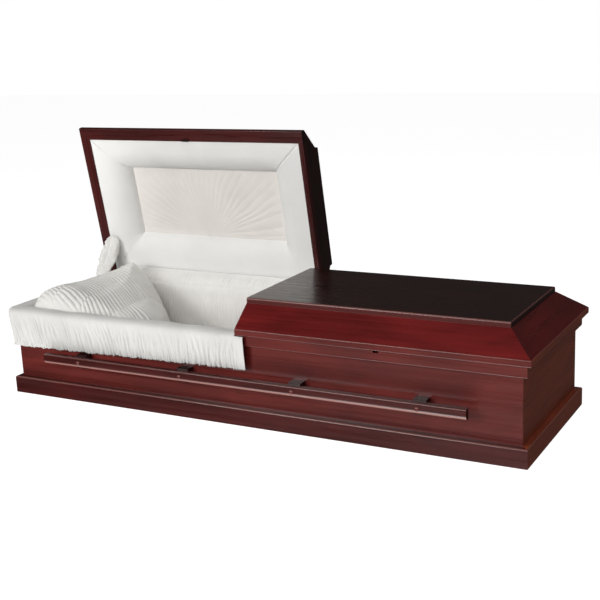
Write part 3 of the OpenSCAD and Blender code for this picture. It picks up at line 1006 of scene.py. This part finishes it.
@dataclass
class Pillow(Part):
    """The filled pillow on the raised head end, with bands of slanting pleats."""

    half_width: float = 269 * MM
    head_x: float = -983 * MM
    pleat_pitch: float = 16 * MM
    pleat_depth: float = 7.2 * MM
    slant: float = math.radians(66)
    band_pitch: float = 124 * MM
    band_start: float = -763 * MM
    furthest: float = 12 * MM
    reach: float = 272 * MM
    frames: int = 20

    def foot_edge(self, y: Array) -> Array:
        """Where the foot edge lies at y: a falling curve that draws the back corner in."""
        y = y * 1000
        return (-496 - 0.5 * y - 0.002 * y * y - 0.8 * np.maximum(0, -y - 190)) * MM

    def blank(self) -> bpy.types.Object:
        """The pillow before it is filled: a closed pad between its head and foot edges.

        Round the pad, the share from head to foot is (1 - cos) / 2 of the turn. The thickness is
        a curve of that share, blended from the front's to the back's, and closed at the edges by
        roots of one minus a power.
        """
        turn = np.linspace(0, 2 * np.pi, 97)
        v = np.sin(np.linspace(-np.pi / 2, np.pi / 2, 81))
        u = (1 - np.cos(turn)) / 2
        side = np.where(turn <= np.pi, 1.0, -1.0)
        y = self.half_width * v
        drawn = 18 * MM * np.abs(v) ** 6
        head = self.head_x + drawn
        foot = self.foot_edge(y) - drawn
        x = head[None] + (foot - head)[None] * u[:, None]
        shares = [0, 0.12, 0.3, 0.5, 0.75, 1.0]
        front = np.interp(u, shares, np.array([148, 166, 178, 174, 144, 96]) * MM)[:, None]
        back = np.interp(u, shares, np.array([84, 104, 142, 190, 170, 108]) * MM)[:, None]
        thick = front + (back - front) * ((v + 1) / 2)[None]
        end = rounded(2 * u - 1, 5)
        closing = rounded(v, np.where(v > 0, 16, 9))
        half = 0.5 * thick * end[:, None] * closing[None]
        lie = 0.5 * thick * (0.86 + 0.14 * closing[None])
        z = self.shell.bed_height(x) + 2 * MM + lie + half * side[:, None]
        return make_piece("pillow", [Patch(lattice(x, y[None], z))], weld=0.2 * MM)

    def fill(self, piece: bpy.types.Object) -> None:
        """Fills the blank: an even mesh, then cloth under pressure, with each move limited."""
        even = piece.modifiers.new("even mesh", "REMESH")
        even.mode = "VOXEL"
        even.voxel_size = 6 * MM
        settle_modifiers(piece)
        start = vectors_of(piece.data.vertices, "co")
        cloth = piece.modifiers.new("filling", "CLOTH")
        cloth.settings.use_pressure = True
        cloth.settings.uniform_pressure_force = 4.0
        cloth.settings.effector_weights.gravity = 0.0
        cloth.settings.quality = 5
        scene = bpy.context.scene
        for frame in range(1, self.frames + 1):
            scene.frame_set(frame)
        settle_modifiers(piece)
        move = vectors_of(piece.data.vertices, "co") - start
        far = np.linalg.norm(move, axis=1, keepdims=True)
        move *= np.minimum(1.0, self.furthest / np.maximum(far, 1e-9))
        scene.frame_set(1)
        move_points(piece, start + move)

    def pleats(self, p: Array) -> Array:
        """Height of the pleats over the plan: |sin| ridges that slant across each band.

        Bands cross the pillow, one after another along X, and each has its own shift. The
        pleats are lower where one band meets the next.
        """
        x, y = p[:, 0], p[:, 1]
        soft, tall = Ripple(21), Ripple(22)
        along = x + 0.05 * y + 9 * MM * soft.at(x / 0.2 + 3, y / 0.17 + 5)
        band = (along - self.band_start) / self.band_pitch
        shift = np.floor(band)
        near = np.abs(band - np.round(band)) * self.band_pitch
        fade = 0.55 + 0.45 * ease(0, 6 * MM, near)
        across = x * math.cos(self.slant) + y * math.sin(self.slant)
        phase = across / self.pleat_pitch + 0.37 * shift
        phase = phase + 0.6 * soft.at(across / 0.05 + 60, x / 0.11)
        ridge = np.abs(np.sin(np.pi * phase)) ** 0.7
        rise = 0.62 + 0.38 * tall.at(across / 0.045 + 31, x / 0.09 + 17)
        return self.pleat_depth * ridge * rise * fade

    def build(self) -> bpy.types.Object:
        """Makes, fills and pleats the pillow."""
        piece = self.blank()
        self.fill(piece)
        finer = piece.modifiers.new("finer", "SUBSURF")
        finer.levels = finer.render_levels = 1
        settle_modifiers(piece)
        p = vectors_of(piece.data.vertices, "co")
        n = vectors_of(piece.data.vertex_normals, "vector")
        top = ease(-0.15, 0.35, n[:, 2])
        edge = ease(1.0, 0.9, np.abs(p[:, 1]) / self.half_width)
        p = p + n * (self.pleats(p) * top * (0.35 + 0.65 * edge))[:, None]
        p[:, 2] = np.maximum(p[:, 2], self.shell.bed_height(p[:, 0]) + 0.5 * MM)
        p[:, 1] = np.clip(p[:, 1], -self.reach, self.reach)
        move_points(piece, p)
        shade_smooth(piece)
        dress(piece, self.finishes.pillow)
        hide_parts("pillow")
        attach(piece, "casket")
        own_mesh(piece)
        return piece


# ---- cloth over the rim and at the open lid ----


@dataclass
class Overlay(Part):
    """The gathered cloth that hangs over the front and head rim, with its padded roll."""

    hem: float = 195 * MM
    hem_rise: float = 15 * MM
    tab: float = 30 * MM
    stop: float = 174 * MM
    corner: float = 26 * MM
    thickness: float = 1.6 * MM
    step: float = 2.1 * MM
    seed: int = 30
    gathers: Gathers = Gathers(25 * MM, 9.0 * MM, 0.12, 0.8, 3)
    fine_gathers: Gathers = Gathers(9 * MM, 2.6 * MM, 0.05, 1.0, 8)

    def section(self, rows: int) -> Array:
        """Section of the cloth as (distance out from the band, height): up the inside of the
        lining, over the padded rim in a roll, and down outside to the hem, drawn in a little."""
        rim = self.shell.rim
        line = [(-44, -28), (-47, -10), (-44, 0), (-36, 3.6), (-22, 5), (-8, 5.8), (3, 4.6),
                (12, -1.5), (15.6, -13), (15.2, -27), (13.2, -42)]
        hem = self.hem - rim
        points = [(o * MM, rim + z * MM) for o, z in line]
        points += [(9 * MM, rim + 0.62 * hem), (5 * MM, rim + 0.86 * hem), (3 * MM, self.hem)]
        return curve_through(points, rows)

    def path(self) -> tuple[Array, Array, Array]:
        """The band's outer line, along the front, round the head corner and along the head.

        Returns:
            Distances along the line, its points in plan, and the ways out from it.
        """
        hx, hy, r = self.shell.band.x, self.shell.band.y, self.corner
        run = self.tab + hx - r
        arc = r * np.pi / 2
        length = run + arc + self.stop + hy - r
        s = np.linspace(0, length, int(length / self.step))
        a = np.clip((s - run) / r, 0, np.pi / 2)
        base_x = np.where(s < run, self.tab - s, -hx + r - r * np.sin(a))
        base_y = -hy + r - r * np.cos(a) + np.maximum(0, s - run - arc)
        out = np.stack([-np.sin(a), -np.cos(a)], axis=1)
        return s, np.stack([base_x, base_y], axis=1), out

    def swell(self, s: Array, z: Array, level: Array, below: Array) -> Array:
        """How far the cloth stands off its plain section: folds, loft, frill and end strip.

        Args:
            s: distances along the rim, in metres.
            z: heights of the cloth's points.
            level: the same heights before the hem rises.
            below: shares of the drop, from 0 at the rim to 1 at the hem.

        Returns:
            Heights over the section, in metres.
        """
        rim, end = self.shell.rim, s[-1]
        tight = s + 0.45 * np.maximum(0, s - 0.45)
        leaning = tight[None, :] + 0.3 * (rim - z) * ease(0.3, 0.9, s)[None]
        folds = self.gathers.height(leaning, z)
        fine = self.fine_gathers.height(leaning, z)
        hung = ease(rim + 6 * MM, rim - 70 * MM, z)
        strip = ease(6 * MM, 30 * MM, s)[None]
        soft = Ripple(self.seed)
        loft = 2.2 * MM * soft.at(s[None] / 0.09, z / 0.06)
        loft = loft + 0.8 * MM * soft.at(s[None] / 0.03, z / 0.03)
        frill = 2.8 * MM * np.sin(2 * np.pi * s / (11 * MM) + 4 * soft.at(s / 0.03))[None]
        low = ease(self.hem + 26 * MM, self.hem + 2 * MM, level)
        high = folds * (0.06 + 0.94 * hung) * strip + fine * (0.15 + 0.85 * hung) * strip
        high = high - 3.2 * MM * hung + loft * (1 - below) + frill * low * strip
        high = high + 2.0 * MM * (1 - strip) * (below > 0.02)
        return high * (1 - 0.5 * ease(end - 60 * MM, end, s)[None])

    def cut(self, grid: Array, s: Array) -> Patch:
        """Roughens the hem, tucks the end behind the foot lid's lip, and cuts its corner out."""
        teeth = 2.4 * MM * Ripple(self.seed).at(s / 0.012, 4.0)[None]
        grid[-3:, :, 2] += teeth * np.array([0.3, 0.7, 1.0])[:, None]
        lip_y = -(self.shell.band.y + 17 * MM)
        tucked = s[None] < self.tab + 1.5 * MM
        grid[..., 1] = np.where(tucked, np.maximum(grid[..., 1], lip_y), grid[..., 1])
        cell_z = grid[:-1, :-1, 2]
        cell_s = np.broadcast_to(s[None, :-1], cell_z.shape)
        outside = np.arange(len(cell_z))[:, None] > 18
        keep = (cell_s > self.tab + 2 * MM) | ((cell_z < self.shell.rim - 1.5 * MM) & outside)
        return Patch(grid, keep, turned=True)

    def build(self) -> bpy.types.Object:
        """Carries the section along the rim and round the head corner, then gathers it."""
        s, base, out = self.path()
        rows = self.section(52)
        offset, level = rows[:, :1], rows[:, 1:] + 0 * s
        below = np.clip((self.shell.rim - level) / (self.shell.rim - self.hem), 0, 1)
        z = level + below * (self.hem_rise * ease(-1.05, 0.03, base[:, 0]))[None]
        plan_x, plan_y = (base[:, k] + out[:, k] * offset for k in (0, 1))
        grid = raised(lattice(plan_x, plan_y, z), -self.swell(s, z, level, below))
        piece = make_piece("overlay_cloth", [self.cut(grid, s)])
        thicken(piece, self.thickness)
        dress(piece, self.finishes.drape)
        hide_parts("overlay")
        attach(piece, "casket")
        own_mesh(piece)
        log.info("made %s", piece.name)
        return piece


@dataclass
class HingeCover(Part):
    """The shirred strip that hides the open hinge."""

    gathers: Gathers = Gathers(13 * MM, 4.2 * MM, 0.08, 0.9, 15)

    def build(self) -> bpy.types.Object:
        """Carries a soft S-shaped section along the hinge, and gathers it across."""
        s = np.linspace(0, self.shell.inner.x - 20 * MM, 430)
        hinge = self.shell.hinge
        y0 = self.shell.inner.y - self.shell.lining
        line = [(y0 - 2 * MM, hinge.z - 12 * MM), (y0 - 1 * MM, hinge.z + 4 * MM),
                (y0 + 6 * MM, hinge.z + 19 * MM), (y0 + 20 * MM, hinge.z + 32 * MM),
                (hinge.y - 8 * MM, hinge.z + 43 * MM), (hinge.y + 2 * MM, hinge.z + 52 * MM)]
        rows = curve_through(line, 24)
        grid = lattice(-6 * MM - s[None], rows[:, :1], rows[:, 1:])
        share = np.linspace(0, 1, len(rows))[:, None]
        folds = self.gathers.height(s[None], grid[..., 2])
        folds = folds * (0.35 + 0.65 * np.sin(np.pi * share))
        grid = raised(grid, folds)
        piece = make_piece("hinge_cover_cloth", [Patch(grid)])
        thicken(piece, CLOTH_THICKNESS)
        dress(piece, self.finishes.crepe)
        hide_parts("hinge_cover")
        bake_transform(piece)
        log.info("made %s", piece.name)
        return piece


@dataclass
class StaySleeve(Part):
    """The soft sleeve over the stay that holds the head lid open."""

    width: float = 33 * MM
    thick: float = 12 * MM

    def build(self) -> bpy.types.Object:
        """A flattened, crumpled tube along a bent line, closed at both ends."""
        line = [(-1.002, 0.204, 0.345), (-1.000, 0.220, 0.368), (-0.995, 0.248, 0.405),
                (-0.988, 0.272, 0.448), (-0.984, 0.288, 0.494), (-0.984, 0.293, 0.514)]
        path = curve_through(line, 70)
        ahead = unit(np.gradient(path, axis=0))
        facing = np.array([0.9, 0.436, 0.0])
        wide = unit(facing - ahead * (ahead @ facing)[:, None])
        deep = np.cross(ahead, wide)
        turn = np.linspace(0, 2 * np.pi, 49)
        share = np.linspace(0, 1, len(path))
        closing = rounded(2 * share - 1, 9)
        swell = np.interp(share, [0, 0.2, 0.5, 0.8, 1.0], [0.75, 0.8, 1.05, 1.0, 0.7])
        soft = Ripple(60)
        crumple = 1 + 0.16 * soft.at(share[:, None] * 13, turn[None] * 1.5)
        small = soft.at(share[:, None] * 26 + 50, np.cos(turn)[None] * 2 + 9)
        crumple = crumple + 0.10 * np.abs(small)
        crease = bell(np.cos(turn) + 0.25, 0.2) * (np.sin(turn) < 0)
        crumple = crumple - 0.45 * crease[None] * ease(0.05, 0.3, share)[:, None]
        r = (closing * swell)[:, None] * crumple
        c, q = np.cos(turn)[None] * self.width * r, np.sin(turn)[None] * self.thick * r
        grid = path[:, None] + wide[:, None] * c[..., None] + deep[:, None] * q[..., None]
        grid[:, -1] = grid[:, 0]
        piece = make_piece("stay_sleeve", [Patch(grid, turned=True)], weld=0.05 * MM)
        dress(piece, self.finishes.crepe)
        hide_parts("stay_cover")
        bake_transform(piece)
        log.info("made %s", piece.name)
        return piece


# ---- studio ----


@dataclass(frozen=True)
class Glow:
    """A soft bright patch of the surroundings, which objects catch and the camera doesn't see."""

    side: Triple
    start: float
    strength: float
    full: float = 0.97


@dataclass
class Studio:
    """Camera, soft lights and a plain pale floor."""

    place: Vector = Vector((2.02625, -3.53966, 1.42156))
    azimuth: float = math.radians(28.81)
    elevation: float = math.radians(14.35)
    roll: float = math.radians(-2.54)
    lens: float = 68.17
    dim: float = 0.04
    floor_half: float = 14.0
    glows: tuple[Glow, ...] = (
        Glow((-0.30, -0.95, -0.08), 0.93, 0.30),
        Glow((-0.21, -0.58, -0.79), 0.93, 6.00),
        Glow((0.0, 0.0, -1.0), 0.5, 0.90),
    )

    def camera(self) -> None:
        """Sets the camera: it looks along its azimuth and elevation, turned by its roll."""
        a, e = self.azimuth, self.elevation
        ahead = Vector((-math.sin(a) * math.cos(e), math.cos(a) * math.cos(e), -math.sin(e)))
        right = ahead.cross(Vector((0, 0, 1))).normalized()
        up = right.cross(ahead)
        right, up = (
            right * math.cos(self.roll) + up * math.sin(self.roll),
            up * math.cos(self.roll) - right * math.sin(self.roll),
        )
        data = bpy.data.cameras.new("camera")
        data.sensor_width = 36.0
        data.lens = self.lens
        data.clip_end = 100.0
        camera = new_object("camera", data)
        camera.matrix_world = Matrix([
            (right[k], up[k], -ahead[k], self.place[k]) for k in range(3)
        ] + [(0, 0, 0, 1)])
        bpy.context.scene.camera = camera

    @staticmethod
    def lamp(name: str, at: Triple, size: float, power: float, mirrored: bool = False) -> None:
        """A square soft light at a place, aimed at the casket's middle, and mirrored or not."""
        data = bpy.data.lights.new(name, "AREA")
        data.size = size
        data.energy = power
        lamp = new_object(name, data)
        lamp.visible_glossy = mirrored
        place = Vector(at)
        aim = (Vector((0, 0, 0.3)) - place).to_track_quat("-Z", "Y")
        lamp.matrix_world = Matrix.Translation(place) @ aim.to_matrix().to_4x4()

    def floor(self) -> None:
        """A wide pale floor that is not part of the casket."""
        mesh = bpy.data.meshes.new("floor")
        r = self.floor_half
        mesh.from_pydata([(-r, -r, 0), (r, -r, 0), (r, r, 0), (-r, r, 0)], [], [(0, 1, 2, 3)])
        floor = new_object("floor", mesh)
        t = Tree("pale floor")
        t.put(t.shader, {"Base Color": (0.3, 0.3, 0.3, 1), "Roughness": 1.0})
        t.put(t.shader, {"Specular IOR Level": 0.0})
        t.put(t.shader, {"Emission Color": (1, 1, 1, 1), "Emission Strength": 0.96})
        dress(floor, t.material)
        floor.visible_glossy = floor.visible_diffuse = floor.visible_shadow = False

    def world(self) -> None:
        """Surroundings: white to the eye, and as a source of light dim but for soft glows."""
        world = bpy.data.worlds.new("surroundings")
        n = Nodes(world)
        seen = n.nodes["Background"]
        n.put(seen, {"Color": (1, 1, 1, 1), "Strength": 1.0})
        way, strength = n.add("TexCoord").outputs["Generated"], 0.0
        for glow in self.glows:
            toward = n.add("VectorMath", {0: way, 1: glow.side}, operation="DOT_PRODUCT")
            spread = n.add("MapRange", {"Value": toward.outputs["Value"], 1: glow.start},
                           interpolation_type="SMOOTHSTEP")
            n.put(spread, {2: glow.full, 3: self.dim / len(self.glows), 4: glow.strength})
            strength = n.add("Math", {0: spread.outputs[0], 1: strength}).outputs[0]
        lit = n.add("Background", {"Color": (1.0, 0.99, 0.98, 1), "Strength": strength})
        path = n.add("LightPath").outputs["Is Camera Ray"]
        mix = n.add("MixShader", {0: path, 1: lit.outputs[0], 2: seen.outputs[0]})
        n.put(n.nodes["World Output"], {"Surface": mix.outputs[0]})
        bpy.context.scene.world = world

    def build(self) -> None:
        """Sets the camera, the lights, the floor and the surroundings."""
        bpy.context.scene.view_settings.view_transform = "Standard"
        self.camera()
        self.world()
        self.floor()
        self.lamp("key", (-2.7, -6.5, 2.6), 3.0, 288, mirrored=True)
        self.lamp("top", (-0.6, -1.2, 3.8), 3.0, 38)
        self.lamp("fill", (2.2, -6.2, 3.0), 3.4, 160)
        self.lamp("back", (2.6, 4.2, 3.0), 2.4, 45)


def main(frame: dict) -> None:
    """Builds the studio, dresses the boards, and makes every soft piece and fitting."""
    finishes = Finishes()
    shell = Shell.read(frame)
    log.info("lid opens %.1f degrees", math.degrees(shell.open_turn))
    Studio().build()
    Woodwork(frame, finishes).build()
    for part in (Fittings, LidLining, Interior, Overlay, HingeCover, StaySleeve):
        part(shell, finishes).build()


if __name__ == "__main__":
    logging.basicConfig(level=logging.INFO, format="%(message)s")
    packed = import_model()
    main(packed)
